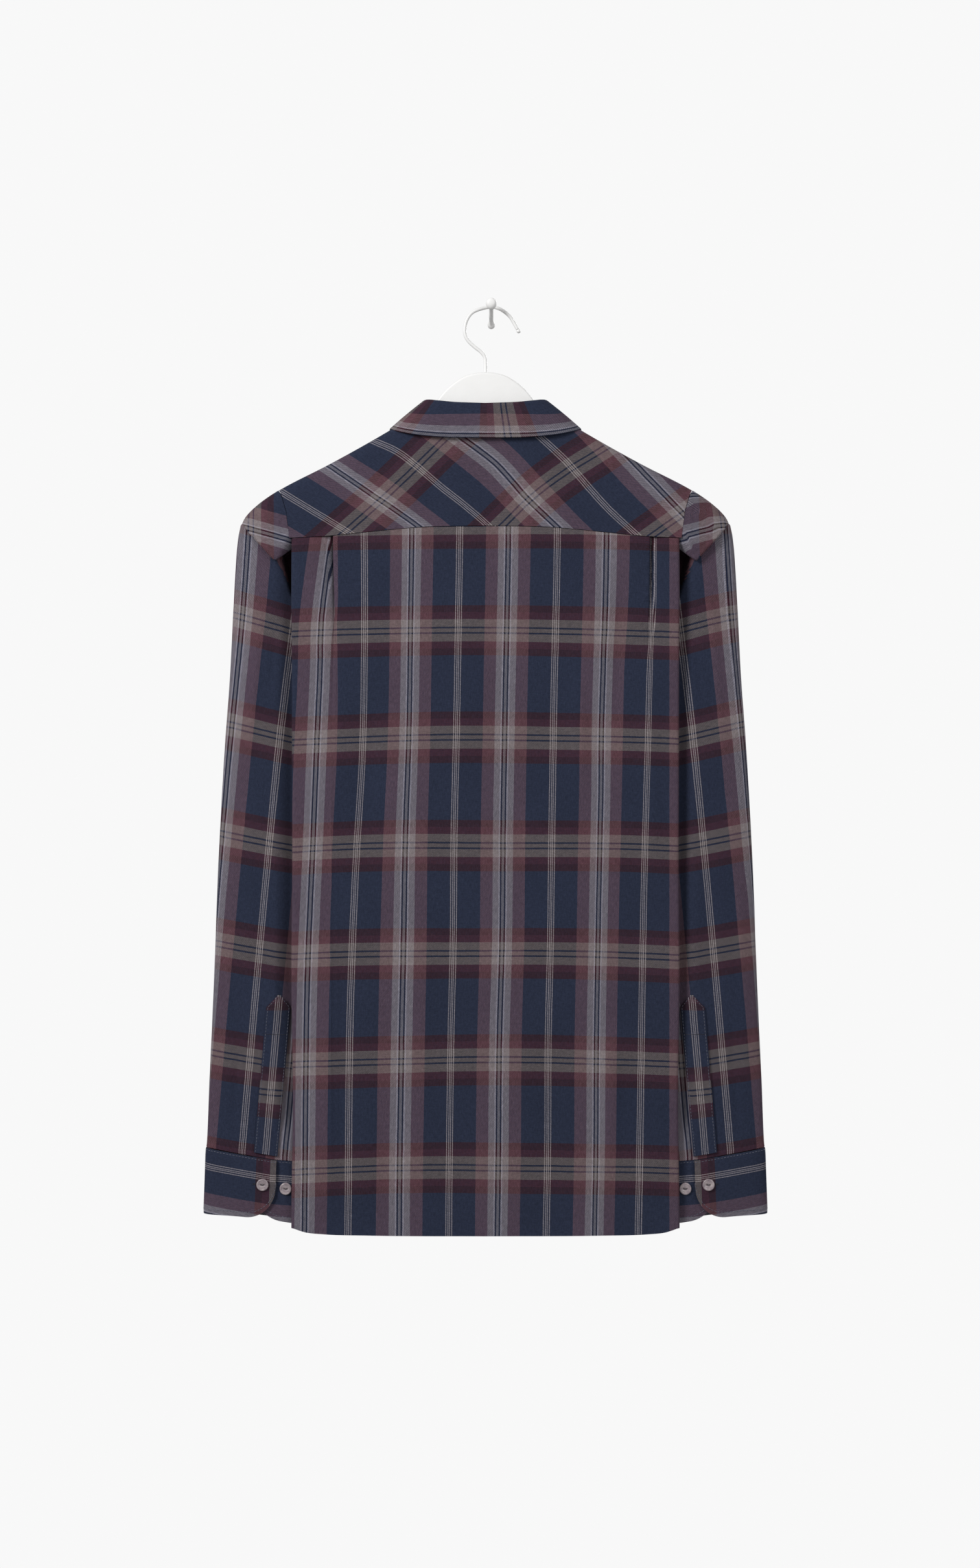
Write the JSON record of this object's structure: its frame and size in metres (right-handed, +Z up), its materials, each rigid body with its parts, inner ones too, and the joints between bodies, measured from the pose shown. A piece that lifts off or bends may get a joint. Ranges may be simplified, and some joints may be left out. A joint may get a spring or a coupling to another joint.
{
  "type": "flannel shirt on a board hanger and a wall peg",
  "caption": "Plaid flannel shirt with long sleeves, buttoned up and hung by a board hanger's wire hook from a round wall peg.",
  "frame": {"origin": "middle of the peg's flat face on the wall", "axes": "+Z up, +Y into the wall, +X to the right of someone who looks at the shirt's back"},
  "size_m": [0.5258, 0.0445, 0.8695],
  "materials": {
    "flannel": "brushed twill check in navy, mauve, plum and grey",
    "flannel_yoke": "the same brushed check, cut on the bias",
    "flannel_collar": "the same brushed check, stiffened",
    "flannel_cuff": "the same brushed check, stiffened",
    "pearl": "pale mauve-grey pearl",
    "white_lacquer": "satin white",
    "white_wire": "satin white"
  },
  "bodies": {
    "root": {"back_panel": "flannel", "yoke": "flannel_yoke", "front_left": "flannel", "front_right": "flannel", "front_placket": "flannel", "collar_fall": "flannel_collar", "collar_stand": "flannel_collar", "sleeve_left": "flannel", "sleeve_placket_left": "flannel", "sleeve_right": "flannel", "sleeve_placket_right": "flannel", "cuff_left": "flannel_cuff", "cuff_right": "flannel_cuff", "hanger_board": "white_lacquer", "hanger_hook": "white_wire", "hook_tip": "white_wire", "wall_peg": "white_lacquer", "collar_button": "pearl", "cuff_button_left_fastened": "pearl", "cuff_button_left_spare": "pearl", "cuff_button_right_fastened": "pearl", "cuff_button_right_spare": "pearl", "front_button_1": "pearl", "front_button_2": "pearl", "front_button_3": "pearl", "front_button_4": "pearl", "front_button_5": "pearl", "front_button_6": "pearl", "front_button_7": "pearl"}
  },
  "joints": []
}
